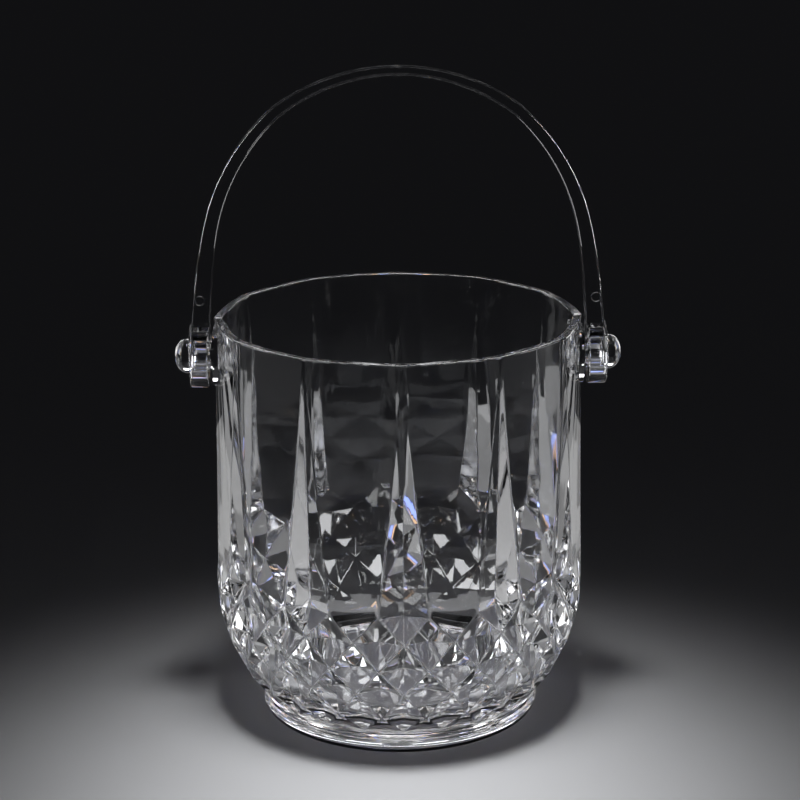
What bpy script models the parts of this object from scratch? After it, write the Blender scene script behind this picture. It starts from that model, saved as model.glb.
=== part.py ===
"""Clear plastic ice bucket with a swinging arched handle.

Four mouldings: the twelve-sided cut-pattern bucket with its two hinge trunnions, the
arched handle with an eye at each end, and the two domed knobs whose pegs are pushed into
the trunnions and keep the eyes on.  Lengths are metres, +Z is up, +X runs along the
hinge axis, and the bucket stands on z = 0 with its own axis on x = y = 0.
"""

import math

import bmesh
import bpy
from mathutils import Vector

MM = 0.001

# ---- bucket, overall -------------------------------------------------------
HEIGHT = 145.6 * MM            # foot to rim
RIM_RADIUS = 65.0 * MM         # over the corners of the twelve-sided rim
SIDES = 12
SECTOR = 2 * math.pi / SIDES   # angle from one corner to the next
WALL = 3.0 * MM                # wall at the rim, square to a panel
LIP = 0.6 * MM                 # rounding of the rim's two edges

# ---- upper wall: a panel on each side and a tall V-cut on each corner ---------
PANEL_BULGE_RIM = 1.25 * MM    # panels are slightly convex at the rim
PANEL_BULGE_FOOT = 0.15 * MM   # and nearly flat at their foot
EDGE_RADIUS_RIM = 64.95 * MM   # edges of the V-cuts, from the axis, at the rim
CUT_FOOT_RADIUS = 62.9 * MM    # bottom of a V-cut at its foot
CUT_TIP = math.radians(0.35)   # half angle of a V-cut at the rim
CUT_TAPER = 1.15               # how a V-cut narrows on its way up
CUT_DEEPENS = 1.1              # how it deepens on its way down
WALL_LEVELS = (0.88, 0.74, 0.60, 0.46, 0.33, 0.21, 0.10)
PANEL_STEPS = 4                # points across a panel, edge to edge

# ---- cut band: diagonal ridges cross in rows, with a sunken pyramid in each cell ----
COLUMNS = 48                   # half-pitches of the pattern round the bucket
BAND = (                       # (height, radius) of each row of ridge crossings
    (57.2 * MM, 66.3 * MM),
    (47.8 * MM, 67.0 * MM),
    (37.3 * MM, 65.9 * MM),
    (27.7 * MM, 63.3 * MM),
    (16.6 * MM, 58.2 * MM),
    (9.2 * MM, 52.7 * MM),
)
PITS = (0.0, 3.3 * MM, 3.2 * MM, 2.9 * MM, 2.6 * MM, 1.2 * MM)   # depth of the cells by row

# ---- foot and inside -------------------------------------------------------
FOOT_RADIUS = 50.6 * MM
FOOT_HEIGHT = 5.4 * MM
FOOT_GROOVE = 0.7 * MM         # shallow groove between the foot and the band
FOOT_WIDTH = 4.6 * MM          # ring the bucket stands on
FOOT_RECESS = 1.8 * MM         # underside is hollowed inside that ring
INSIDE = (                     # (height, middle of a panel to the axis, 0 sided .. 1 round)
    (104.0 * MM, 59.6 * MM, 0.0),
    (62.0 * MM, 59.1 * MM, 0.0),
    (46.0 * MM, 59.3 * MM, 0.5),
    (34.0 * MM, 59.4 * MM, 1.0),
    (24.0 * MM, 57.2 * MM, 1.0),
    (16.0 * MM, 52.4 * MM, 1.0),
    (11.2 * MM, 46.0 * MM, 1.0),
    (8.3 * MM, 38.0 * MM, 1.0),
    (7.2 * MM, 28.0 * MM, 1.0),
)
FLOOR_Z = 7.0 * MM

# ---- hinge -----------------------------------------------------------------
PIVOT_Z = 131.4 * MM
GAP = 0.3 * MM                 # clearance between any two pieces
PAD_FACE = 65.5 * MM           # flat boss the trunnion stands on
PAD_ROOT = 63.6 * MM           # back of the boss, inside the wall
PAD_HALF_WIDTH = 10.0 * MM
PAD_TOP = 141.0 * MM
PAD_BOTTOM = 120.4 * MM
PAD_CORNER = 2.0 * MM
TRUNNION_RADIUS = 5.35 * MM
TRUNNION_ROOT = 64.0 * MM      # inside the wall
TRUNNION_END = 72.3 * MM
TRUNNION_EDGE = 0.4 * MM
PEG_RADIUS = 2.7 * MM
PEG_LENGTH = 5.6 * MM          # peg beyond the trunnion's end
EYE_RADIUS = 11.3 * MM
EYE_INNER = 67.1 * MM          # face towards the bucket
EYE_OUTER = 73.6 * MM          # face towards the knob
BORE_RADIUS = TRUNNION_RADIUS + GAP
KNOB_RADIUS = 6.2 * MM
KNOB_TIP = 79.3 * MM
KNOB_RIM = 0.8 * MM            # straight edge of the dome
SPIGOT_RADIUS = TRUNNION_RADIUS - 0.2 * MM

# ---- handle strap ----------------------------------------------------------
STRAP_TOP = 233.4 * MM
CROWN_RADIUS = 73.0 * MM       # outer line of the flatter arc on top
CROWN_HALF = math.radians(36.0)
SHOULDER_LEAN = math.radians(49.0)   # lean from upright just past the shoulder
SIDE_RADIUS = 77.0 * MM        # outer line from the shoulder down
HIP_LEAN = math.radians(13.0)
LEG_RADIUS = 200.0 * MM        # legs straighten slowly towards the eyes
LEG_LEAN = math.radians(6.0)
LEG_END_Z = 137.0 * MM         # strap ends inside the eye
THIN, THICK = 2.9 * MM, 6.4 * MM     # strap thickness at the crown and at the eyes
THICKEN = 1.3                  # most of the thickening is near the eyes
NARROW, WIDE = 6.6 * MM, 10.0 * MM   # strap width at the crown and at the eyes
EDGE = 0.5 * MM                # small chamfer along the strap's four edges
GATE = (1.7 * MM, 1.3 * MM, 0.8 * MM)   # half sizes of the gate mark under the crown
ROUND_STEPS = 48


def clear_scene():
    for item in list(bpy.data.objects):
        bpy.data.objects.remove(item, do_unlink=True)


def plastic(name, colour, roughness):
    made = bpy.data.materials.new(name)
    made.use_nodes = True
    shader = made.node_tree.nodes["Principled BSDF"]
    shader.inputs["Base Color"].default_value = (*colour, 1.0)
    shader.inputs["Roughness"].default_value = roughness
    shader.inputs["Metallic"].default_value = 0.0
    shader.inputs["Transmission Weight"].default_value = 0.9
    made.diffuse_color = (*colour, 1.0)
    return made


def finish(name, work, material=None, origin=(0.0, 0.0, 0.0)):
    """Turn a bmesh into an object with outward faces and its origin at a given point."""
    bmesh.ops.recalc_face_normals(work, faces=work.faces)
    bmesh.ops.translate(work, verts=work.verts, vec=-Vector(origin))
    mesh = bpy.data.meshes.new(name)
    work.to_mesh(mesh)
    work.free()
    made = bpy.data.objects.new(name, mesh)
    made.location = origin
    bpy.context.scene.collection.objects.link(made)
    if material:
        mesh.materials.append(material)
    return made


def add_boolean(target, tool, operation):
    """Boolean a helper into the target; the helper is kept out of sight."""
    step = target.modifiers.new(tool.name, "BOOLEAN")
    step.operation = operation
    step.solver = "EXACT"
    step.object = tool
    tool.hide_render = True
    tool.display_type = "WIRE"


def settle(target, tools, degrees):
    """Make the Booleans permanent, drop the helpers, and shade round faces smooth."""
    bpy.context.view_layer.update()
    graph = bpy.context.evaluated_depsgraph_get()
    result = bpy.data.meshes.new_from_object(target.evaluated_get(graph))
    target.modifiers.clear()
    old = target.data
    target.data = result
    bpy.data.meshes.remove(old)
    result.name = target.name
    for tool in tools:
        bpy.data.objects.remove(tool, do_unlink=True)
    shade(target, degrees)


def shade(target, degrees):
    target.data.shade_smooth()
    target.data.set_sharp_from_angle(angle=math.radians(degrees))


def turned(name, profile, side, steps=ROUND_STEPS, material=None):
    """Piece turned about the hinge axis; profile is (distance along X, radius)."""
    work = bmesh.new()
    line = [(profile[0][0], 0.0), *profile, (profile[-1][0], 0.0)]
    verts = [work.verts.new((side * x, 0.0, PIVOT_Z + radius)) for x, radius in line]
    edges = [work.edges.new(pair) for pair in zip(verts, verts[1:])]
    bmesh.ops.spin(work, geom=verts + edges, cent=(0.0, 0.0, PIVOT_Z), axis=(1.0, 0.0, 0.0),
                   angle=2 * math.pi, steps=steps, use_merge=True)
    bmesh.ops.remove_doubles(work, verts=work.verts, dist=0.001 * MM)
    return finish(name, work, material)


# ---- bucket ----------------------------------------------------------------

def rise(z):
    """0 level with the feet of the V-cuts, 1 at the rim."""
    return (z - BAND[0][0]) / (HEIGHT - BAND[0][0])


def cut_angle(z):
    """Half the angle that a V-cut takes up."""
    return CUT_TIP + (SECTOR / 4 - CUT_TIP) * (1.0 - rise(z)) ** CUT_TAPER


def edge_radius(z):
    return EDGE_RADIUS_RIM + (BAND[0][1] - EDGE_RADIUS_RIM) * (1.0 - rise(z)) ** 2


def cut_radius(z):
    """Radius of the bottom line of a V-cut."""
    return RIM_RADIUS + (CUT_FOOT_RADIUS - RIM_RADIUS) * (1.0 - rise(z)) ** CUT_DEEPENS


def bulge(z):
    return PANEL_BULGE_FOOT + (PANEL_BULGE_RIM - PANEL_BULGE_FOOT) * rise(z) ** 2


def panel_radius(z, off):
    """Radius of a panel at an angle from its middle: a chord between the edges of two
    V-cuts, bowed out by the bulge."""
    half = SECTOR / 2 - cut_angle(z)
    chord = edge_radius(z) * math.cos(half) / math.cos(off)
    return chord + bulge(z) * (1.0 - (off / half) ** 2)


def pit_point(row):
    """Deepest point of a cell: the row's crossings moved in square to the band."""
    below = BAND[min(row + 1, len(BAND) - 1)]
    above = BAND[row - 1]
    run, drop = below[1] - above[1], above[0] - below[0]
    length = math.hypot(run, drop)
    z, radius = BAND[row]
    return z - PITS[row] * run / length, radius - PITS[row] * drop / length


class Shell:
    """The bucket's single skin, built as rings and named points in one bmesh."""

    def __init__(self):
        self.work = bmesh.new()

    def add(self, radius, angle, z):
        return self.work.verts.new((radius * math.cos(angle), radius * math.sin(angle), z))

    def face(self, *verts):
        self.work.faces.new(verts)

    def strip(self, upper, lower):
        for k, vert in enumerate(upper):
            n = (k + 1) % len(upper)
            self.face(vert, upper[n], lower[n], lower[k])

    def fan(self, ring, z):
        middle = self.add(0.0, 0.0, z)
        for k, vert in enumerate(ring):
            self.face(vert, ring[(k + 1) % len(ring)], middle)

    def round_ring(self, radius, z):
        return [self.add(radius, 2 * math.pi * k / COLUMNS, z) for k in range(COLUMNS)]

    def wall_ring(self, z, inset=0.0, shape_z=None):
        """Each sector gives its corner, then a panel from edge to edge."""
        shape_z = z if shape_z is None else shape_z
        half = SECTOR / 2 - cut_angle(shape_z)
        ring = []
        for m in range(SIDES):
            ring.append(self.add(cut_radius(shape_z) - inset, m * SECTOR, z))
            for n in range(PANEL_STEPS + 1):
                off = half * (2 * n / PANEL_STEPS - 1)
                radius = panel_radius(shape_z, off) - inset
                ring.append(self.add(radius, (m + 0.5) * SECTOR + off, z))
        return ring

    def inner_ring(self, z, flat, round_off, bow):
        ring = []
        count = PANEL_STEPS + 2
        for k in range(SIDES * count):
            off = SECTOR * ((k % count) / count - 0.5)
            sided = flat / math.cos(off) - bow * (2 * off / SECTOR) ** 2
            radius = flat * round_off + sided * (1.0 - round_off)
            ring.append(self.add(radius, SECTOR * k / count, z))
        return ring


def upper_wall(shell):
    """Rim down to the feet of the V-cuts; returns the rim's crown ring and the last ring,
    whose points on the cut edges are the band's first row of crossings."""
    crown = shell.wall_ring(HEIGHT, LIP, HEIGHT)
    last = crown
    for inset, z in ((0.12 * LIP, HEIGHT - 0.4 * LIP), (0.0, HEIGHT - 1.4 * LIP)):
        ring = shell.wall_ring(z, inset, HEIGHT)
        shell.strip(last, ring)
        last = ring
    for level in (*WALL_LEVELS, 0.0):
        ring = shell.wall_ring(BAND[0][0] + level * (HEIGHT - BAND[0][0]))
        shell.strip(last, ring)
        last = ring
    return crown, last


def cut_band(shell, lowest):
    """Panel tips, feet of the V-cuts and the sunken cells; returns the band's lower edge."""
    last = len(BAND) - 1
    count = PANEL_STEPS + 2
    crossing, pit = {}, {}
    for m in range(SIDES):
        pit[0, 4 * m] = lowest[count * m]
        crossing[0, 4 * m + 1] = lowest[count * m + 1]
        crossing[0, 4 * m + 3] = lowest[count * m + count - 1]
    for i, (z, radius) in enumerate(BAND):
        for k in range(COLUMNS):
            angle = 2 * math.pi * k / COLUMNS
            if i > 0 and (i + k) % 2:
                crossing[i, k] = shell.add(radius, angle, z)
            elif i > 0:
                low, deep = pit_point(i)
                pit[i, k] = shell.add(deep, angle, low)

    for m in range(SIDES):
        here, there = 4 * m, (4 * m + 4) % COLUMNS
        panel = lowest[count * m + 1:count * (m + 1)]
        tip = crossing[1, here + 2]
        for n in range(PANEL_STEPS):
            shell.face(panel[n], tip, panel[n + 1])
        shell.face(pit[0, here], crossing[1, here], panel[0])
        shell.face(pit[0, there], panel[-1], crossing[1, there])

    for (i, k), deep in pit.items():
        if i == 0:
            continue
        left, right = crossing[i, (k - 1) % COLUMNS], crossing[i, (k + 1) % COLUMNS]
        above = crossing[i - 1, k]
        shell.face(deep, above, left)
        shell.face(deep, right, above)
        if i < last:
            below = crossing[i + 1, k]
            shell.face(deep, left, below)
            shell.face(deep, below, right)
    return [crossing.get((last, k)) or pit[last, k] for k in range(COLUMNS)]


def foot(shell, edge):
    """Groove, standing ring and the hollowed underside."""
    chamfer = 0.5 * MM
    inner = FOOT_RADIUS - FOOT_WIDTH
    rings = (
        (FOOT_RADIUS, FOOT_HEIGHT + 1.9 * MM),
        (FOOT_RADIUS - FOOT_GROOVE, FOOT_HEIGHT + 0.9 * MM),
        (FOOT_RADIUS - FOOT_GROOVE, FOOT_HEIGHT + 0.3 * MM),
        (FOOT_RADIUS + 0.1 * MM, FOOT_HEIGHT - 0.5 * MM),
        (FOOT_RADIUS, chamfer),
        (FOOT_RADIUS - chamfer, 0.0),
        (inner, 0.0),
        (inner - 0.8 * FOOT_RECESS, FOOT_RECESS),
    )
    last = edge
    for radius, z in rings:
        ring = shell.round_ring(radius, z)
        shell.strip(last, ring)
        last = ring
    shell.fan(last, FOOT_RECESS)


def inside(shell, crown):
    """Rim's inner edge, the tapering inner wall and the floor."""
    flat = edge_radius(HEIGHT) * math.cos(SECTOR / 2) + bulge(HEIGHT) - WALL
    last = crown
    for grow, z in ((LIP, HEIGHT), (0.12 * LIP, HEIGHT - 0.4 * LIP), (0.0, HEIGHT - 1.4 * LIP)):
        ring = shell.inner_ring(z, flat + grow, 0.0, bulge(HEIGHT))
        shell.strip(ring, last)
        last = ring
    for z, radius, round_off in INSIDE:
        ring = shell.inner_ring(z, radius, round_off, bulge(z))
        shell.strip(ring, last)
        last = ring
    shell.fan(last, FLOOR_Z)


def pad(side):
    """Flat boss with a rounded lower end, let into the corner of the wall."""
    half = [(0.0, PAD_TOP)]
    for n in range(5):
        a = math.pi / 2 * (1 - n / 4)
        half.append((PAD_HALF_WIDTH - PAD_CORNER * (1 - math.cos(a)),
                     PAD_TOP - PAD_CORNER * (1 - math.sin(a))))
    for n in range(13):
        a = math.pi / 2 * n / 12
        half.append((PAD_HALF_WIDTH * math.cos(a), PIVOT_Z - (PIVOT_Z - PAD_BOTTOM) * math.sin(a)))
    loop = half + [(-y, z) for y, z in reversed(half[1:-1])]
    lean = math.tan(SECTOR / 2)
    work = bmesh.new()
    front = [work.verts.new((side * PAD_FACE, y, z)) for y, z in loop]
    back = [work.verts.new((side * (PAD_ROOT - abs(y) * lean), y, z)) for y, z in loop]
    turn = len(half)
    work.faces.new(front)
    work.faces.new(back[:turn])
    work.faces.new(back[turn - 1:] + back[:1])
    for k, vert in enumerate(front):
        n = (k + 1) % len(front)
        work.faces.new((vert, front[n], back[n], back[k]))
    return finish("pad_tool", work)


def make_bucket():
    shell = Shell()
    crown, lowest = upper_wall(shell)
    edge = cut_band(shell, lowest)
    foot(shell, edge)
    inside(shell, crown)
    bucket = finish("bucket", shell.work, plastic("bucket_clear", (0.93, 0.95, 0.97), 0.04))
    tools = []
    for side in (-1, 1):
        boss = pad(side)
        trunnion = turned("trunnion_tool", (
            (TRUNNION_ROOT, TRUNNION_RADIUS),
            (TRUNNION_END - TRUNNION_EDGE, TRUNNION_RADIUS),
            (TRUNNION_END, TRUNNION_RADIUS - TRUNNION_EDGE),
            (TRUNNION_END, PEG_RADIUS + GAP),
            (TRUNNION_END - PEG_LENGTH - GAP, PEG_RADIUS + GAP),
        ), side)
        add_boolean(bucket, boss, "UNION")
        add_boolean(bucket, trunnion, "UNION")
        tools += [boss, trunnion]
    settle(bucket, tools, 3.0)
    return bucket


# ---- handle ----------------------------------------------------------------

def outer_line():
    """Outer line of the right half, crown first: (x, z, lean of the strap from upright,
    length along the line)."""
    line = []
    x, z, run = 0.0, STRAP_TOP, 0.0
    arcs = (
        (CROWN_RADIUS, math.pi / 2, math.pi / 2 - CROWN_HALF, 18),
        (SIDE_RADIUS, SHOULDER_LEAN, HIP_LEAN, 16),
        (LEG_RADIUS, HIP_LEAN, LEG_LEAN, 6),
    )
    for radius, start, end, steps in arcs:
        for n in range(steps + 1):
            lean = start + (end - start) * n / steps
            line.append((x + radius * (math.cos(lean) - math.cos(start)),
                         z - radius * (math.sin(start) - math.sin(lean)),
                         lean, run + radius * (start - lean)))
        x, z, _, run = line[-1]
    leg = (z - LEG_END_Z) / math.cos(LEG_LEAN)
    line.append((x + leg * math.sin(LEG_LEAN), LEG_END_Z, LEG_LEAN, run + leg))
    return line


def strap_sections():
    """Eight-cornered sections of the right half, square to the outer line.  The two
    sections that meet at a shoulder or a hip are merged into one."""
    line = outer_line()
    total = line[-1][3]
    merged = []
    for x, z, lean, run in line:
        if merged and run - merged[-1][3] < 0.01 * MM:
            lean = (lean + merged.pop()[2]) / 2
        merged.append((x, z, lean, run))
    sections = []
    for x, z, lean, run in merged:
        share = run / total
        thick = THIN + (THICK - THIN) * share ** THICKEN
        half = (NARROW + (WIDE - NARROW) * min(1.0, 1.35 * share)) / 2
        section = []
        for depth, y in (
            (0.0, half - EDGE), (EDGE, half), (thick - EDGE, half), (thick, half - EDGE),
            (thick, EDGE - half), (thick - EDGE, -half), (EDGE, -half), (0.0, EDGE - half),
        ):
            section.append((x - depth * math.cos(lean), y, z - depth * math.sin(lean)))
        sections.append(section)
    return sections


def strap():
    right = strap_sections()
    left = [[(-x, y, z) for x, y, z in section] for section in right[1:]]
    work = bmesh.new()
    rings = [[work.verts.new(p) for p in section] for section in reversed(left)]
    rings += [[work.verts.new(p) for p in section] for section in right]
    for first, second in zip(rings, rings[1:]):
        for k, vert in enumerate(first):
            n = (k + 1) % len(first)
            work.faces.new((vert, first[n], second[n], second[k]))
    work.faces.new(rings[0])
    work.faces.new(rings[-1])
    return finish("handle", work, plastic("handle_clear", (0.92, 0.94, 0.97), 0.05),
                  (0.0, 0.0, PIVOT_Z))


def gate_mark():
    work = bmesh.new()
    bmesh.ops.create_cube(work, size=2.0)
    bmesh.ops.scale(work, vec=GATE, verts=work.verts)
    bmesh.ops.translate(work, vec=(0.0, 0.0, STRAP_TOP - THIN), verts=work.verts)
    return finish("gate_tool", work)


def make_handle():
    handle = strap()
    gate = gate_mark()
    add_boolean(handle, gate, "UNION")
    tools = [gate]
    rounding = 0.5 * MM
    for side in (-1, 1):
        eye = turned("eye_tool", (
            (EYE_INNER, EYE_RADIUS - rounding), (EYE_INNER + rounding, EYE_RADIUS),
            (EYE_OUTER - rounding, EYE_RADIUS), (EYE_OUTER, EYE_RADIUS - rounding),
        ), side, steps=64)
        bore = turned("bore_tool", (
            (EYE_INNER - 4.0 * MM, BORE_RADIUS), (EYE_OUTER + 4.0 * MM, BORE_RADIUS),
        ), side)
        add_boolean(handle, eye, "UNION")
        add_boolean(handle, bore, "DIFFERENCE")
        tools += [eye, bore]
    settle(handle, tools, 30.0)
    return handle


def make_knob(name, side):
    """Domed cap, a spigot filling the end of the bore, and the peg."""
    face = EYE_OUTER + GAP
    peg_end = TRUNNION_END - PEG_LENGTH
    spigot_end = TRUNNION_END + GAP
    profile = [
        (peg_end, PEG_RADIUS - 0.4 * MM),
        (peg_end + 0.4 * MM, PEG_RADIUS),
        (spigot_end, PEG_RADIUS),
        (spigot_end, SPIGOT_RADIUS),
        (face, SPIGOT_RADIUS),
        (face, KNOB_RADIUS - 0.3 * MM),
        (face + 0.3 * MM, KNOB_RADIUS),
        (face + KNOB_RIM, KNOB_RADIUS),
    ]
    dome = KNOB_TIP - face - KNOB_RIM
    for n in range(1, 12):
        a = math.pi / 2 * n / 12
        profile.append((face + KNOB_RIM + dome * math.sin(a), KNOB_RADIUS * math.cos(a)))
    made = turned(name, profile, side,
                  material=plastic(name + "_clear", (0.94, 0.95, 0.97), 0.03))
    shade(made, 30.0)
    return made


def main():
    clear_scene()
    make_bucket()
    make_handle()
    make_knob("knob_left", -1)
    make_knob("knob_right", 1)


main()
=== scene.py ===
import math

import bmesh
import bpy
from mathutils import Matrix, Vector


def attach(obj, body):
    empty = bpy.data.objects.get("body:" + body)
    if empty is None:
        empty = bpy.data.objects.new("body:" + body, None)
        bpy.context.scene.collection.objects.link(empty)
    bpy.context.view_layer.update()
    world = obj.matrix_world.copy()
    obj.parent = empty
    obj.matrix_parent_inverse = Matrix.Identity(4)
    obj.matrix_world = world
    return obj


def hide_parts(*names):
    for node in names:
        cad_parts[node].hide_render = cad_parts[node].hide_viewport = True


# Visual model of a clear plastic ice bucket with a swinging arched handle.
#
# The CAD nodes are the frame.  Every piece shown here is rebuilt finer over its own node:
# the cut bucket with rounded ridges and grooves, the handle with its mould marks, and the
# two domed knobs.  Lengths are metres.

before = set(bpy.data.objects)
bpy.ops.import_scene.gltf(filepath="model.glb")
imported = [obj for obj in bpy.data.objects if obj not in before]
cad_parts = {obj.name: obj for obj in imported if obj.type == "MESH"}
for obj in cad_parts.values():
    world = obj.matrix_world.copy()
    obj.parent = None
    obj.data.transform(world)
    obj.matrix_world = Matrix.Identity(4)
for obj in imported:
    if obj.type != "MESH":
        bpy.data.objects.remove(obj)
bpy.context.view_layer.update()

MM = 0.001
TURN = 2 * math.pi

# ---- bucket, the CAD's own driving sizes ----------------------------------------
HEIGHT = 145.6 * MM
RIM_RADIUS = 65.0 * MM
SIDES = 12
SECTOR = TURN / SIDES
WALL = 3.0 * MM
LIP = 0.6 * MM
PANEL_BULGE_RIM, PANEL_BULGE_FOOT = 1.25 * MM, 0.15 * MM
EDGE_RADIUS_RIM, CUT_FOOT_RADIUS = 64.95 * MM, 62.9 * MM
CUT_TIP, CUT_TAPER, CUT_DEEPENS = math.radians(0.35), 1.15, 1.1
COLUMNS = 48
# Rows of the belly's lattice from the panels' feet down: height and radius of the crossings,
# and how far each row's pyramids are sunk.
BAND = (
    (57.2 * MM, 66.3 * MM), (47.8 * MM, 67.0 * MM), (37.3 * MM, 65.9 * MM),
    (27.7 * MM, 63.3 * MM), (16.6 * MM, 58.2 * MM), (9.2 * MM, 52.7 * MM),
)
PITS = (0.0, 3.3 * MM, 3.2 * MM, 2.9 * MM, 2.6 * MM, 1.2 * MM)
FOOT_RADIUS, FOOT_HEIGHT, FOOT_GROOVE = 50.6 * MM, 5.4 * MM, 0.7 * MM
FOOT_WIDTH, FOOT_RECESS, FOOT_CHAMFER = 4.6 * MM, 1.8 * MM, 0.5 * MM
# Inside wall from the top down: height, radius, and 0 where it is twelve-sided to 1 where round.
INSIDE = (
    (104.0 * MM, 59.6 * MM, 0.0), (62.0 * MM, 59.1 * MM, 0.0), (46.0 * MM, 59.3 * MM, 0.5),
    (34.0 * MM, 59.4 * MM, 1.0), (24.0 * MM, 57.2 * MM, 1.0), (16.0 * MM, 52.4 * MM, 1.0),
    (11.2 * MM, 46.0 * MM, 1.0), (8.3 * MM, 38.0 * MM, 1.0), (7.2 * MM, 28.0 * MM, 1.0),
)
FLOOR_Z = 7.0 * MM

# ---- hinge and handle -------------------------------------------------------------
PIVOT_Z = 131.4 * MM
GAP = 0.3 * MM
PAD_FACE, PAD_ROOT, PAD_HALF_WIDTH = 65.5 * MM, 63.6 * MM, 10.0 * MM
PAD_TOP, PAD_BOTTOM, PAD_CORNER, PAD_EDGE = 141.0 * MM, 120.4 * MM, 2.0 * MM, 0.25 * MM
TRUNNION_RADIUS, TRUNNION_ROOT, TRUNNION_END = 5.35 * MM, 64.0 * MM, 72.3 * MM
TRUNNION_EDGE = 0.4 * MM
PEG_RADIUS, PEG_LENGTH, PEG_EDGE = 2.7 * MM, 5.6 * MM, 0.4 * MM
EYE_RADIUS, EYE_INNER, EYE_OUTER = 11.3 * MM, 67.1 * MM, 73.6 * MM
EYE_ROUNDING, BORE_OVERRUN = 0.5 * MM, 4.0 * MM
BORE_RADIUS = TRUNNION_RADIUS + GAP
KNOB_RADIUS, KNOB_TIP, KNOB_RIM = 6.2 * MM, 79.3 * MM, 0.8 * MM
SPIGOT_RADIUS = TRUNNION_RADIUS - 0.2 * MM
STRAP_TOP, CROWN_RADIUS, CROWN_HALF = 233.4 * MM, 73.0 * MM, math.radians(36.0)
SHOULDER_LEAN, SIDE_RADIUS, HIP_LEAN = math.radians(49.0), 77.0 * MM, math.radians(13.0)
LEG_RADIUS, LEG_LEAN, LEG_END_Z = 200.0 * MM, math.radians(6.0), 137.0 * MM
THIN, THICK, THICKEN = 2.9 * MM, 6.4 * MM, 1.3
NARROW, WIDE, WIDEN = 6.6 * MM, 10.0 * MM, 1.35
STRAP_ROUNDING = 0.55 * MM
GATE, GATE_EDGE = (1.7 * MM, 1.3 * MM, 0.8 * MM), 0.25 * MM
MARK_X, MARK_Z, MARK_RADIUS, MARK_BEAD = 69.5 * MM, 152.6 * MM, 1.65 * MM, 0.16 * MM

# ---- rounding and fineness of the visual model -------------------------------------
RIDGE, VALLEY = 0.55 * MM, 0.16 * MM    # rounding of outward and of inward edges
FLAT_EDGE = math.radians(7.0)           # an edge flatter than this is left as it is
CUT_SHARE = 0.3                         # most rounding beside a V-cut, over its half width
PANEL_STEPS = 12                        # steps across a panel
SECTOR_POINTS = PANEL_STEPS + 2         # a V-cut's root and the panel beside it
WALL_ROWS = 18                          # rows down the upper wall
LIP_STEPS = 3                           # steps over each half of the rounded lip
FOOT_POINTS = 144                       # points round the foot
INSIDE_LEVELS = (                       # from height, to height, rows
    (HEIGHT, 62.0 * MM, 12), (62.0 * MM, 34.0 * MM, 10),
    (34.0 * MM, 16.0 * MM, 9), (16.0 * MM, 7.2 * MM, 10),
)
TAG_LIP, TAG_PANEL, TAG_CUT, TAG_BAND, TAG_FOOT, TAG_INSIDE = range(6)

# ---- looks ---------------------------------------------------------------------------
PLASTIC_TINT, PLASTIC_IOR = (0.985, 0.99, 1.0), 1.55
HAZE_FROM, HAZE_TO = (0.35, 0.75), (0.0, 0.05)     # noise range, roughness range
FLOOR_RADIUS, FLOOR_COLOUR = 4.0, (0.5, 0.505, 0.52)
ROOM_COLOUR = (0.010, 0.010, 0.011)
WHITE, WARM, COOL = (1.0, 1.0, 1.0), (1.0, 0.62, 0.35), (0.35, 0.45, 1.0)
PANEL_HEIGHT = 2.0 * MM                            # of the soft boxes lying on the floor
CAMERA_AT = (-0.0155, -0.7168, 0.3354)
PITCH, YAW, ROLL = math.radians(17.16), math.radians(1.24), math.radians(0.29)
LENS, SENSOR, SHIFT_X = 94.275, 36.0, 0.0019       # lens and sensor in millimetres


def link(name, mesh):
    made = bpy.data.objects.new(name, mesh)
    bpy.context.scene.collection.objects.link(made)
    return made


def to_object(name, work):
    bmesh.ops.recalc_face_normals(work, faces=work.faces)
    mesh = bpy.data.meshes.new(name)
    work.to_mesh(mesh)
    work.free()
    return link(name, mesh)


def settle(target):
    """Make the target's modifiers permanent."""
    bpy.context.view_layer.update()
    graph = bpy.context.evaluated_depsgraph_get()
    result = bpy.data.meshes.new_from_object(target.evaluated_get(graph))
    target.modifiers.clear()
    target.data = result
    result.name = target.name


def boolean(target, tool, operation):
    step = target.modifiers.new(tool.name, "BOOLEAN")
    step.operation, step.solver, step.object = operation, "EXACT", tool
    settle(target)
    bpy.data.objects.remove(tool, do_unlink=True)


def smooth(target, degrees):
    """Smooth shading with creases kept, and flat faces that stay flat beside round edges."""
    target.data.shade_smooth()
    target.data.set_sharp_from_angle(angle=math.radians(degrees))
    step = target.modifiers.new("flat faces", "WEIGHTED_NORMAL")
    step.keep_sharp, step.weight, step.mode = True, 80, "FACE_AREA"
    settle(target)


def turned(name, profile, side, steps=96):
    """Piece turned about the hinge axis; profile is (distance along X, radius)."""
    work = bmesh.new()
    line = [(profile[0][0], 0.0), *profile, (profile[-1][0], 0.0)]
    verts = [work.verts.new((side * x, 0.0, PIVOT_Z + radius)) for x, radius in line]
    edges = [work.edges.new(pair) for pair in zip(verts, verts[1:])]
    bmesh.ops.spin(work, geom=verts + edges, cent=(0.0, 0.0, PIVOT_Z), axis=(1.0, 0.0, 0.0),
                   angle=TURN, steps=steps, use_merge=True)
    bmesh.ops.remove_doubles(work, verts=work.verts, dist=0.001 * MM)
    return to_object(name, work)


# ---- bucket --------------------------------------------------------------------------

def rise(z):
    """0 at the feet of the panels, 1 at the rim."""
    return (z - BAND[0][0]) / (HEIGHT - BAND[0][0])


def cut_angle(z):
    """Half of a V-cut's width, as an angle about the axis."""
    return CUT_TIP + (SECTOR / 4 - CUT_TIP) * max(0.0, 1.0 - rise(z)) ** CUT_TAPER


def edge_radius(z):
    return EDGE_RADIUS_RIM + (BAND[0][1] - EDGE_RADIUS_RIM) * (1.0 - rise(z)) ** 2


def cut_radius(z):
    return RIM_RADIUS + (CUT_FOOT_RADIUS - RIM_RADIUS) * max(0.0, 1.0 - rise(z)) ** CUT_DEEPENS


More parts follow.
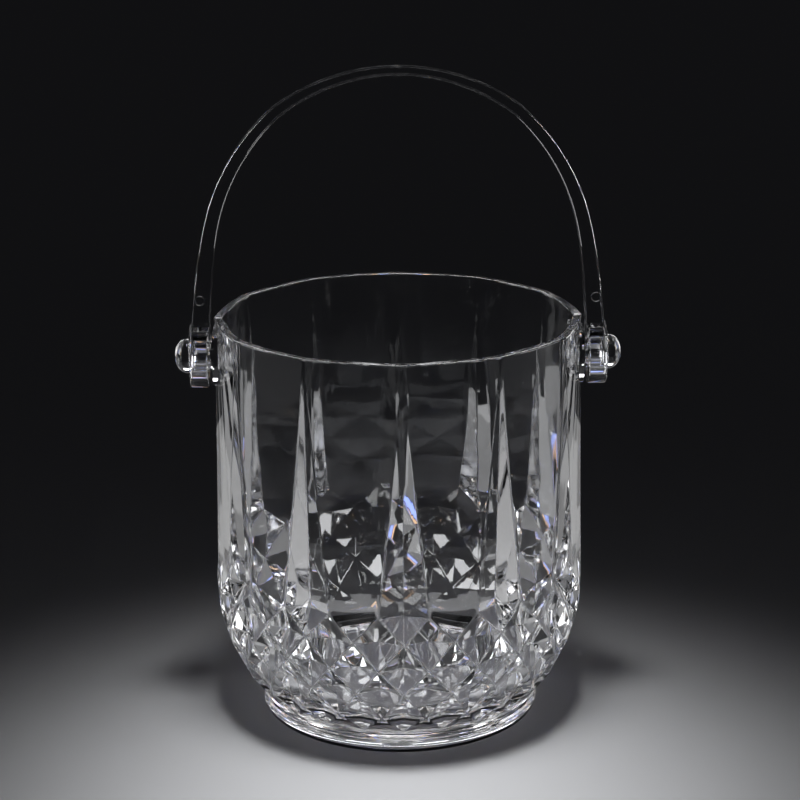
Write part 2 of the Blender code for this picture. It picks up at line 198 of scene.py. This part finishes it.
def bulge(z):
    return PANEL_BULGE_FOOT + (PANEL_BULGE_RIM - PANEL_BULGE_FOOT) * rise(z) ** 2


def panel_radius(z, off):
    half = SECTOR / 2 - cut_angle(z)
    return (edge_radius(z) * math.cos(half) / math.cos(off)
            + bulge(z) * (1.0 - (off / half) ** 2))


def pit_point(row):
    """Height and radius of the sunken points of a row."""
    below = BAND[min(row + 1, len(BAND) - 1)]
    above = BAND[row - 1]
    run, drop = below[1] - above[1], above[0] - below[0]
    length = math.hypot(run, drop)
    z, radius = BAND[row]
    return z - PITS[row] * run / length, radius - PITS[row] * drop / length


class Skin:
    """The bucket's single closed skin; every face carries the tag of its region."""

    def __init__(self):
        self.work = bmesh.new()
        self.tag = TAG_LIP

    def add(self, radius, angle, z):
        return self.work.verts.new((radius * math.cos(angle), radius * math.sin(angle), z))

    def face(self, *verts):
        self.work.faces.new(verts).material_index = self.tag

    def strip(self, upper, lower):
        for k, vert in enumerate(upper):
            n = (k + 1) % len(upper)
            self.face(vert, upper[n], lower[n], lower[k])

    def fan(self, ring, z):
        middle = self.add(0.0, 0.0, z)
        for k, vert in enumerate(ring):
            self.face(vert, ring[(k + 1) % len(ring)], middle)

    def spread(self, coarse, fine):
        """Joins a ring to one with several times its points."""
        by = len(fine) // len(coarse)
        for k, vert in enumerate(coarse):
            run = [fine[(k * by + n) % len(fine)] for n in range(by + 1)]
            self.face(vert, *run, coarse[(k + 1) % len(coarse)])

    def round_ring(self, radius, z):
        return [self.add(radius, TURN * k / FOOT_POINTS, z) for k in range(FOOT_POINTS)]

    def wall_ring(self, z, inset=0.0, shape_z=None):
        """Outer ring at z, with the shape that the wall has at shape_z."""
        shape_z = z if shape_z is None else shape_z
        half = SECTOR / 2 - cut_angle(shape_z)
        ring = []
        for m in range(SIDES):
            ring.append(self.add(cut_radius(shape_z) - inset, m * SECTOR, z))
            for n in range(PANEL_STEPS + 1):
                off = half * (2 * n / PANEL_STEPS - 1)
                radius = panel_radius(shape_z, off) - inset
                ring.append(self.add(radius, (m + 0.5) * SECTOR + off, z))
        return ring

    def inner_ring(self, z, flat, round_off, bow):
        """Inner ring, from twelve-sided (round_off 0) to round (round_off 1)."""
        ring = []
        for k in range(SIDES * SECTOR_POINTS):
            off = SECTOR * ((k % SECTOR_POINTS) / SECTOR_POINTS - 0.5)
            sided = flat / math.cos(off) - bow * (2 * off / SECTOR) ** 2
            radius = flat * round_off + sided * (1.0 - round_off)
            ring.append(self.add(radius, SECTOR * k / SECTOR_POINTS, z))
        return ring


def upper_wall(skin):
    """Rounded lip, the panels and the V-cuts between them down to their feet."""
    skin.tag = TAG_LIP
    crown = skin.wall_ring(HEIGHT, LIP, HEIGHT)
    last = crown
    for n in range(1, LIP_STEPS + 1):
        a = math.pi / 2 * n / LIP_STEPS
        ring = skin.wall_ring(HEIGHT - LIP * (1 - math.cos(a)), LIP * (1 - math.sin(a)), HEIGHT)
        skin.strip(last, ring)
        last = ring
    for n in range(1, WALL_ROWS + 1):
        ring = skin.wall_ring(HEIGHT - LIP - (HEIGHT - LIP - BAND[0][0]) * n / WALL_ROWS)
        for k, vert in enumerate(last):
            after = (k + 1) % len(last)
            skin.tag = TAG_CUT if k % SECTOR_POINTS in (0, SECTOR_POINTS - 1) else TAG_PANEL
            skin.face(vert, last[after], ring[after], ring[k])
        last = ring
    return crown, last


def cut_band(skin, lowest):
    """Panel tips, feet of the V-cuts and the sunken cells; returns the band's lower edge."""
    last = len(BAND) - 1
    crossing, pit = {}, {}
    for m in range(SIDES):
        start = SECTOR_POINTS * m
        pit[0, 4 * m] = lowest[start]
        crossing[0, 4 * m + 1] = lowest[start + 1]
        crossing[0, 4 * m + 3] = lowest[start + SECTOR_POINTS - 1]
    for i, (z, radius) in enumerate(BAND):
        for k in range(COLUMNS):
            angle = TURN * k / COLUMNS
            if i > 0 and (i + k) % 2:
                crossing[i, k] = skin.add(radius, angle, z)
            elif i > 0:
                low, deep = pit_point(i)
                pit[i, k] = skin.add(deep, angle, low)
    for m in range(SIDES):
        here, there = 4 * m, (4 * m + 4) % COLUMNS
        panel = lowest[SECTOR_POINTS * m + 1:SECTOR_POINTS * (m + 1)]
        tip = crossing[1, here + 2]
        skin.tag = TAG_PANEL
        for n in range(PANEL_STEPS):
            skin.face(panel[n], tip, panel[n + 1])
        skin.tag = TAG_BAND
        skin.face(pit[0, here], crossing[1, here], panel[0])
        skin.face(pit[0, there], panel[-1], crossing[1, there])
    for (i, k), deep in pit.items():
        if i == 0:
            continue
        left, right = crossing[i, (k - 1) % COLUMNS], crossing[i, (k + 1) % COLUMNS]
        above = crossing[i - 1, k]
        skin.face(deep, above, left)
        skin.face(deep, right, above)
        if i < last:
            below = crossing[i + 1, k]
            skin.face(deep, left, below)
            skin.face(deep, below, right)
    return [crossing.get((last, k)) or pit[last, k] for k in range(COLUMNS)]


def foot(skin, edge):
    """Grooved step, standing ring and the recess under the bucket."""
    inner = FOOT_RADIUS - FOOT_WIDTH
    rings = (
        (FOOT_RADIUS, FOOT_HEIGHT + 1.9 * MM),
        (FOOT_RADIUS - 0.75 * FOOT_GROOVE, FOOT_HEIGHT + 1.2 * MM),
        (FOOT_RADIUS - FOOT_GROOVE, FOOT_HEIGHT + 0.7 * MM),
        (FOOT_RADIUS - 0.8 * FOOT_GROOVE, FOOT_HEIGHT + 0.1 * MM),
        (FOOT_RADIUS - 0.1 * FOOT_GROOVE, FOOT_HEIGHT - 0.3 * MM),
        (FOOT_RADIUS + 0.1 * MM, FOOT_HEIGHT - 0.8 * MM),
        (FOOT_RADIUS, FOOT_CHAMFER),
        (FOOT_RADIUS - 0.3 * FOOT_CHAMFER, 0.3 * FOOT_CHAMFER),
        (FOOT_RADIUS - FOOT_CHAMFER, 0.0),
        (inner, 0.0),
        (inner - 0.3 * FOOT_RECESS, 0.5 * FOOT_RECESS),
        (inner - 0.8 * FOOT_RECESS, 0.9 * FOOT_RECESS),
        (inner - 1.4 * FOOT_RECESS, FOOT_RECESS),
    )
    skin.tag = TAG_FOOT
    last = None
    for radius, z in rings:
        ring = skin.round_ring(radius, z)
        if last is None:
            skin.spread(edge, ring)
        else:
            skin.strip(last, ring)
        last = ring
    skin.fan(last, FOOT_RECESS)


def curve_through(rows, at):
    """Smooth value between the rows of a falling table (z, ...), by a cubic through them."""
    for n in range(len(rows) - 1):
        if rows[n][0] >= at >= rows[n + 1][0]:
            before, a, b, after = (rows[max(n - 1, 0)], rows[n], rows[n + 1],
                                   rows[min(n + 2, len(rows) - 1)])
            span = b[0] - a[0]
            t = (at - a[0]) / span
            made = []
            for c in range(1, len(a)):
                m0 = (b[c] - before[c]) / (b[0] - before[0]) * span
                m1 = (after[c] - a[c]) / (after[0] - a[0]) * span
                made.append((2 * t ** 3 - 3 * t ** 2 + 1) * a[c] + (t ** 3 - 2 * t ** 2 + t) * m0
                            + (3 * t ** 2 - 2 * t ** 3) * b[c] + (t ** 3 - t ** 2) * m1)
            return made
    raise ValueError(at)


def inside(skin, crown):
    """Inner half of the lip, the inside wall and the rounded floor."""
    skin.tag = TAG_LIP
    flat = edge_radius(HEIGHT) * math.cos(SECTOR / 2) + bulge(HEIGHT) - WALL
    last = crown
    for n in range(LIP_STEPS + 1):
        a = math.pi / 2 * n / LIP_STEPS
        ring = skin.inner_ring(HEIGHT - LIP * (1 - math.cos(a)), flat + LIP * (1 - math.sin(a)),
                               0.0, bulge(HEIGHT))
        skin.strip(ring, last)
        last = ring
    skin.tag = TAG_INSIDE
    rows = [(HEIGHT - LIP, flat, 0.0), *INSIDE]
    levels = [start + (end - start) * n / steps
              for start, end, steps in INSIDE_LEVELS for n in range(1, steps + 1)]
    for z in levels:
        radius, round_off = curve_through(rows, max(z, INSIDE[-1][0]))
        round_off = min(1.0, max(0.0, round_off))
        ring = skin.inner_ring(z, radius, round_off, bulge(z))
        skin.strip(ring, last)
        last = ring
    for radius in (20.0 * MM, 10.0 * MM):
        ring = skin.inner_ring(FLOOR_Z, radius, 1.0, 0.0)
        skin.strip(ring, last)
        last = ring
    skin.fan(last, FLOOR_Z)


def round_edges(bucket):
    """Rounds the cut edges, least where the V-cuts run out at the rim."""
    work = bmesh.new()
    work.from_mesh(bucket.data)
    weight = work.edges.layers.float.new("bevel_weight_edge")
    cut = {TAG_PANEL, TAG_CUT, TAG_BAND}
    for edge in work.edges:
        tags = {f.material_index for f in edge.link_faces}
        angle = edge.calc_face_angle_signed(0.0)
        if abs(angle) < FLAT_EDGE or not (tags <= cut or tags == {TAG_BAND, TAG_FOOT}):
            continue
        width = RIDGE if angle > 0 else VALLEY
        z = min(v.co.z for v in edge.verts)
        if z > BAND[0][0] + MM:
            width = min(width, CUT_SHARE * cut_angle(z) * edge_radius(z))
        edge[weight] = width / RIDGE
    work.to_mesh(bucket.data)
    work.free()
    step = bucket.modifiers.new("rounded edges", "BEVEL")
    step.limit_method, step.offset_type = "WEIGHT", "OFFSET"
    step.width, step.segments = RIDGE, 2
    step.use_clamp_overlap = False
    settle(bucket)


def pad(side):
    """Flat boss with rounded edges, let into the corner of the wall."""
    half = [(0.0, PAD_TOP)]
    for n in range(9):
        a = math.pi / 2 * (1 - n / 8)
        half.append((PAD_HALF_WIDTH - PAD_CORNER * (1 - math.cos(a)),
                     PAD_TOP - PAD_CORNER * (1 - math.sin(a))))
    for n in range(25):
        a = math.pi / 2 * n / 24
        half.append((PAD_HALF_WIDTH * math.cos(a), PIVOT_Z - (PIVOT_Z - PAD_BOTTOM) * math.sin(a)))
    loop = half + [(-y, z) for y, z in reversed(half[1:-1])]
    lean = math.tan(SECTOR / 2)
    work = bmesh.new()
    front = [work.verts.new((side * PAD_FACE, y, z)) for y, z in loop]
    back = [work.verts.new((side * (PAD_ROOT - abs(y) * lean), y, z)) for y, z in loop]
    turn = len(half)
    face = work.faces.new(front)
    work.faces.new(back[:turn])
    work.faces.new(back[turn - 1:] + back[:1])
    for k, vert in enumerate(front):
        n = (k + 1) % len(front)
        work.faces.new((vert, front[n], back[n], back[k]))
    bmesh.ops.bevel(work, geom=list(face.edges), offset=PAD_EDGE, segments=2, profile=0.5,
                    affect="EDGES")
    return to_object("pad", work)


def trunnion(side):
    """Hollow stub that the handle's eye turns on."""
    socket = PEG_RADIUS + GAP
    return turned("trunnion", (
        (TRUNNION_ROOT, TRUNNION_RADIUS),
        (TRUNNION_END - TRUNNION_EDGE, TRUNNION_RADIUS),
        (TRUNNION_END, TRUNNION_RADIUS - TRUNNION_EDGE),
        (TRUNNION_END, socket),
        (TRUNNION_END - PEG_LENGTH - GAP, socket),
    ), side)


def make_bucket():
    skin = Skin()
    crown, lowest = upper_wall(skin)
    edge = cut_band(skin, lowest)
    foot(skin, edge)
    inside(skin, crown)
    bucket = to_object("bucket_clear_body", skin.work)
    round_edges(bucket)
    for side in (-1, 1):
        boolean(bucket, pad(side), "UNION")
        boolean(bucket, trunnion(side), "UNION")
    smooth(bucket, 24.0)
    for face in bucket.data.polygons:
        face.material_index = 0
    return bucket


# ---- handle ----------------------------------------------------------------------------

def outer_line():
    """Outer line of the right half, crown first: x, z, lean from upright, length so far."""
    line = []
    x, z, run = 0.0, STRAP_TOP, 0.0
    arcs = (
        (CROWN_RADIUS, math.pi / 2, math.pi / 2 - CROWN_HALF, 40),
        (SIDE_RADIUS, SHOULDER_LEAN, HIP_LEAN, 36),
        (LEG_RADIUS, HIP_LEAN, LEG_LEAN, 12),
    )
    for radius, start, end, steps in arcs:
        for n in range(steps + 1):
            lean = start + (end - start) * n / steps
            line.append((x + radius * (math.cos(lean) - math.cos(start)),
                         z - radius * (math.sin(start) - math.sin(lean)),
                         lean, run + radius * (start - lean)))
        x, z, _, run = line[-1]
    leg = (z - LEG_END_Z) / math.cos(LEG_LEAN)
    line.append((x + leg * math.sin(LEG_LEAN), LEG_END_Z, LEG_LEAN, run + leg))
    merged = []
    for x, z, lean, run in line:
        if merged and run - merged[-1][3] < 0.01 * MM:
            lean = (lean + merged.pop()[2]) / 2
        merged.append((x, z, lean, run))
    return merged


def section(thick, half):
    """Corner-rounded outline of the strap: (depth, y)."""
    radius = STRAP_ROUNDING
    outline = []
    for cx, cy, start in ((radius, half - radius, 180), (thick - radius, half - radius, 90),
                          (thick - radius, radius - half, 0), (radius, radius - half, -90)):
        for n in range(4):
            a = math.radians(start - 90 * n / 3)
            outline.append((cx + radius * math.cos(a), cy + radius * math.sin(a)))
    return outline


def gate_mark():
    """Small block under the crown, where the plastic was let into the mould."""
    work = bmesh.new()
    bmesh.ops.create_cube(work, size=2.0)
    bmesh.ops.scale(work, vec=GATE, verts=work.verts)
    bmesh.ops.bevel(work, geom=work.edges[:], offset=GATE_EDGE, segments=2, affect="EDGES")
    bmesh.ops.translate(work, vec=(0.0, 0.0, STRAP_TOP - THIN), verts=work.verts)
    return to_object("gate_mark", work)


def ejector_mark(side):
    """Fine raised ring left by an ejector pin on the strap's front."""
    work = bmesh.new()
    around, bead = 48, 8
    rings = []
    for k in range(around):
        a = TURN * k / around
        ring = []
        for n in range(bead):
            b = TURN * n / bead
            r = MARK_RADIUS + MARK_BEAD * math.cos(b)
            ring.append(work.verts.new((side * MARK_X + r * math.cos(a),
                                        -WIDE / 2 - MARK_BEAD * math.sin(b),
                                        MARK_Z + r * math.sin(a))))
        rings.append(ring)
    for k, ring in enumerate(rings):
        after = rings[(k + 1) % around]
        for n in range(bead):
            m = (n + 1) % bead
            work.faces.new((ring[n], ring[m], after[m], after[n]))
    return to_object("ejector_mark", work)


def strap():
    line = outer_line()
    total = line[-1][3]
    right = []
    for x, z, lean, run in line:
        share = run / total
        thick = THIN + (THICK - THIN) * share ** THICKEN
        half = (NARROW + (WIDE - NARROW) * min(1.0, WIDEN * share)) / 2
        right.append([(x - d * math.cos(lean), y, z - d * math.sin(lean))
                      for d, y in section(thick, half)])
    left = [[(-x, y, z) for x, y, z in ring] for ring in right[1:]]
    work = bmesh.new()
    rings = [[work.verts.new(p) for p in ring] for ring in [*reversed(left), *right]]
    for first, second in zip(rings, rings[1:]):
        for k, vert in enumerate(first):
            n = (k + 1) % len(first)
            work.faces.new((vert, first[n], second[n], second[k]))
    work.faces.new(rings[0])
    work.faces.new(rings[-1])
    return to_object("handle_clear_arch", work)


def eye(side):
    """Disc with rounded edges round the hinge axis."""
    steps = 4
    profile = []
    for n in range(steps, -1, -1):
        a = math.pi / 2 * n / steps
        profile.append((EYE_INNER + EYE_ROUNDING * (1 - math.sin(a)),
                        EYE_RADIUS - EYE_ROUNDING * (1 - math.cos(a))))
    profile += [(EYE_INNER + EYE_OUTER - x, radius) for x, radius in reversed(profile)]
    return turned("eye", profile, side, steps=128)


def bore(side):
    return turned("bore", (
        (EYE_INNER - BORE_OVERRUN, BORE_RADIUS), (EYE_OUTER + BORE_OVERRUN, BORE_RADIUS),
    ), side)


def make_handle():
    handle = strap()
    for side in (-1, 1):
        boolean(handle, eye(side), "UNION")
        boolean(handle, bore(side), "DIFFERENCE")
        boolean(handle, ejector_mark(side), "UNION")
    boolean(handle, gate_mark(), "UNION")
    smooth(handle, 30.0)
    return handle


def make_knob(name, side):
    """Peg, spigot and domed head, turned in one."""
    face = EYE_OUTER + GAP
    peg_end = TRUNNION_END - PEG_LENGTH
    spigot_end = TRUNNION_END + GAP
    profile = [
        (peg_end, PEG_RADIUS - PEG_EDGE), (peg_end + PEG_EDGE, PEG_RADIUS),
        (spigot_end, PEG_RADIUS), (spigot_end, SPIGOT_RADIUS), (face, SPIGOT_RADIUS),
        (face, KNOB_RADIUS - 0.3 * MM), (face + 0.1 * MM, KNOB_RADIUS - 0.08 * MM),
        (face + 0.3 * MM, KNOB_RADIUS), (face + KNOB_RIM, KNOB_RADIUS),
    ]
    dome, steps = KNOB_TIP - face - KNOB_RIM, 24
    for n in range(1, steps):
        a = math.pi / 2 * n / steps
        profile.append((face + KNOB_RIM + dome * math.sin(a), KNOB_RADIUS * math.cos(a)))
    knob = turned(name, profile, side)
    smooth(knob, 32.0)
    return knob


# ---- materials -----------------------------------------------------------------------

def noise(tree, place, scale, detail):
    node = tree.nodes.new("ShaderNodeTexNoise")
    node.inputs["Scale"].default_value = scale
    node.inputs["Detail"].default_value = detail
    tree.links.new(place, node.inputs["Vector"])
    return node.outputs["Fac"]


def bump(tree, height, strength, distance):
    node = tree.nodes.new("ShaderNodeBump")
    node.inputs["Strength"].default_value = strength
    node.inputs["Distance"].default_value = distance
    tree.links.new(height, node.inputs["Height"])
    return node


def clear_plastic(name):
    """Clear moulding with a trace of haze, fine upright streaks and a slight waviness."""
    made = bpy.data.materials.new(name)
    made.use_nodes = True
    tree = made.node_tree
    shader = tree.nodes["Principled BSDF"]
    shader.inputs["Base Color"].default_value = (*PLASTIC_TINT, 1.0)
    shader.inputs["IOR"].default_value = PLASTIC_IOR
    shader.inputs["Transmission Weight"].default_value = 1.0
    place = tree.nodes.new("ShaderNodeTexCoord").outputs["Object"]

    haze = tree.nodes.new("ShaderNodeMapRange")
    tree.links.new(noise(tree, place, 90.0, 3.0), haze.inputs["Value"])
    haze.inputs["From Min"].default_value, haze.inputs["From Max"].default_value = HAZE_FROM
    haze.inputs["To Min"].default_value, haze.inputs["To Max"].default_value = HAZE_TO
    tree.links.new(haze.outputs["Result"], shader.inputs["Roughness"])

    upright = tree.nodes.new("ShaderNodeMapping")
    upright.inputs["Scale"].default_value = (1.0, 1.0, 0.07)
    tree.links.new(place, upright.inputs["Vector"])
    streaks = bump(tree, noise(tree, upright.outputs["Vector"], 420.0, 2.0), 0.05, 0.1 * MM)
    waves = bump(tree, noise(tree, place, 55.0, 1.0), 0.25, 0.4 * MM)
    tree.links.new(streaks.outputs["Normal"], waves.inputs["Normal"])
    tree.links.new(waves.outputs["Normal"], shader.inputs["Normal"])
    return made


def give(piece, material, body, node):
    """Puts a piece in its material, on its body and over its CAD node."""
    piece.data.materials.clear()
    piece.data.materials.append(clear_plastic(material))
    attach(piece, body)
    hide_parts(node)
    return piece


# ---- stage -----------------------------------------------------------------------------

def make_floor():
    work = bmesh.new()
    bmesh.ops.create_circle(work, cap_ends=True, segments=96, radius=FLOOR_RADIUS)
    floor = to_object("floor", work)
    paint = bpy.data.materials.new("pale_floor")
    paint.use_nodes = True
    shader = paint.node_tree.nodes["Principled BSDF"]
    shader.inputs["Base Color"].default_value = (*FLOOR_COLOUR, 1.0)
    shader.inputs["Roughness"].default_value = 0.75
    shader.inputs["Specular IOR Level"].default_value = 0.2
    floor.data.materials.append(paint)


def area_light(name, only, location, target, size, radiance, colour=WHITE, spread=180.0,
               through=True):
    """A soft box that the camera doesn't see.  It shines on the collection `only`, and `through`
    tells whether it is also seen through the clear pieces or just mirrored in them."""
    lamp = bpy.data.lights.new(name, "AREA")
    lamp.shape = "RECTANGLE"
    lamp.size, lamp.size_y = size
    lamp.energy = radiance * math.pi * size[0] * size[1]
    lamp.color = colour
    lamp.spread = math.radians(spread)
    made = bpy.data.objects.new(name, lamp)
    made.location = location
    made.visible_camera = False
    made.visible_transmission = through
    aim = Vector(target) - Vector(location)
    made.rotation_euler = aim.to_track_quat("-Z", "Y").to_euler()
    bpy.context.scene.collection.objects.link(made)
    made.light_linking.receiver_collection = only


def floor_panel(name, only, side, x_range, y_range, radiance, colour=WHITE):
    """A soft box lying on the floor and facing up, beside the bucket."""
    x, y = side * sum(x_range) / 2, sum(y_range) / 2
    size = (x_range[1] - x_range[0], y_range[1] - y_range[0])
    area_light(name, only, (x, y, PANEL_HEIGHT), (x, y, 1.0), size, radiance, colour)


def collection(name, objects):
    made = bpy.data.collections.new(name)
    for each in objects:
        made.objects.link(each)
    return made


def make_room():
    world = bpy.data.worlds.new("studio")
    world.use_nodes = True
    background = world.node_tree.nodes["Background"]
    background.inputs["Color"].default_value = (*ROOM_COLOUR, 1.0)
    background.inputs["Strength"].default_value = 1.0
    bpy.context.scene.world = world


def light_side(side, clear, held, arch):
    """Soft boxes on one side: upright ones, panels on the floor and strips overhead."""
    area_light("back", held, (side * 0.23, 0.48, 0.14), (0, 0, 0.08), (0.08, 0.26), 3.0)
    area_light("far_side", held, (side * 0.42, 0.42, 0.14), (0, 0, 0.10), (0.12, 0.30), 3.0)
    area_light("strap_back", arch, (side * 0.30, 0.60, 0.16), (0, 0, 0.16), (0.05, 0.26), 1.0)
    area_light("strap_side", arch, (side * 0.60, -0.08, 0.30), (0, 0, 0.16), (0.22, 0.60), 13.0,
               through=False)
    beside = (
        ("side", 0.02, 0.14, 5.0, WHITE), ("side_cool", 0.11, 0.03, 5.0, COOL),
        ("side_warm", -0.06, 0.015, 4.0, WARM),
    )
    for name, y, width, radiance, colour in beside:
        area_light(name, clear, (side * 0.45, y, 0.25), (0, 0, 0.04), (width, 0.20), radiance,
                   colour)
    floor_panel("outer", clear, side, (0.135, 0.22), (-0.06, 0.31), 0.34)
    floor_panel("inner", clear, side, (0.090, 0.135), (0.07, 0.34), 0.20)
    floor_panel("warm", clear, side, (0.085, 0.0865), (0.07, 0.24), 1.2, WARM)
    floor_panel("cool", clear, side, (0.0870, 0.0895), (0.07, 0.24), 1.6, COOL)
    floor_panel("behind", clear, side, (0.014, 0.020), (0.08, 0.135), 0.7)
    floor_panel("behind_wide", clear, side, (0.033, 0.041), (0.08, 0.135), 0.6)
    overhead = (("top_cool", 0.118, 0.016, COOL), ("top_warm", 0.134, 0.012, WARM))
    for name, x, width, colour in overhead:
        area_light(name, held, (side * x, 0, 0.75), (side * x, 0, 0.0), (width, 0.22), 14.0, colour)
    floor_panel("under_arch", clear, side, (0.0, 0.045), (0.052, 0.070), 0.15)


def make_light(pieces):
    """Each box shines on its own collection, so the ones in the plastic leave the floor alone."""
    clear = collection("clear", pieces)
    held = collection("held", [piece for piece in pieces if not piece.name.startswith("handle")])
    arch = collection("arch", [piece for piece in pieces if piece.name.startswith("handle")])
    ground = collection("ground", [bpy.data.objects["floor"]])
    area_light("pool", ground, (0, -0.10, 0.62), (0, -0.10, 0.0), (0.12, 0.12), 3.6, spread=32.0)
    for side in (-1, 1):
        light_side(side, clear, held, arch)
    area_light("top", held, (0, 0, 0.75), (0, 0, 0.0), (0.22, 0.22), 4.5)
    area_light("rim", held, (0, 0.95, 0.62), (0, 0, 0.14), (0.5, 0.2), 5.0)


def set_bounces_and_view():
    # Light is reflected inside the clear walls many times before it leaves them.
    paths = bpy.context.scene.cycles
    paths.max_bounces, paths.glossy_bounces, paths.transmission_bounces = 20, 12, 16
    bpy.context.scene.view_settings.view_transform = "Standard"


def make_camera():
    data = bpy.data.cameras.new("camera")
    data.sensor_width, data.lens, data.shift_x = SENSOR, LENS, SHIFT_X
    data.clip_start, data.clip_end = 0.05, 20.0
    camera = bpy.data.objects.new("camera", data)
    ahead = Vector((math.sin(YAW) * math.cos(PITCH), math.cos(YAW) * math.cos(PITCH),
                    -math.sin(PITCH)))
    right = Vector((math.cos(YAW), -math.sin(YAW), 0.0))
    up = right.cross(ahead)
    tilted = right * math.cos(ROLL) - up * math.sin(ROLL)
    upright = up * math.cos(ROLL) + right * math.sin(ROLL)
    camera.matrix_world = Matrix((
        (tilted.x, upright.x, -ahead.x, CAMERA_AT[0]),
        (tilted.y, upright.y, -ahead.y, CAMERA_AT[1]),
        (tilted.z, upright.z, -ahead.z, CAMERA_AT[2]),
        (0.0, 0.0, 0.0, 1.0),
    ))
    bpy.context.scene.collection.objects.link(camera)
    bpy.context.scene.camera = camera


clear_pieces = [
    give(make_bucket(), "bucket_plastic", "bucket", "bucket"),
    give(make_handle(), "handle_plastic", "handle", "handle"),
]
for name, side in (("knob_left", -1), ("knob_right", 1)):
    knob = make_knob(name + "_dome", side)
    clear_pieces.append(give(knob, name + "_plastic", "bucket", name))
make_camera()
make_floor()
make_room()
make_light(clear_pieces)
set_bounces_and_view()
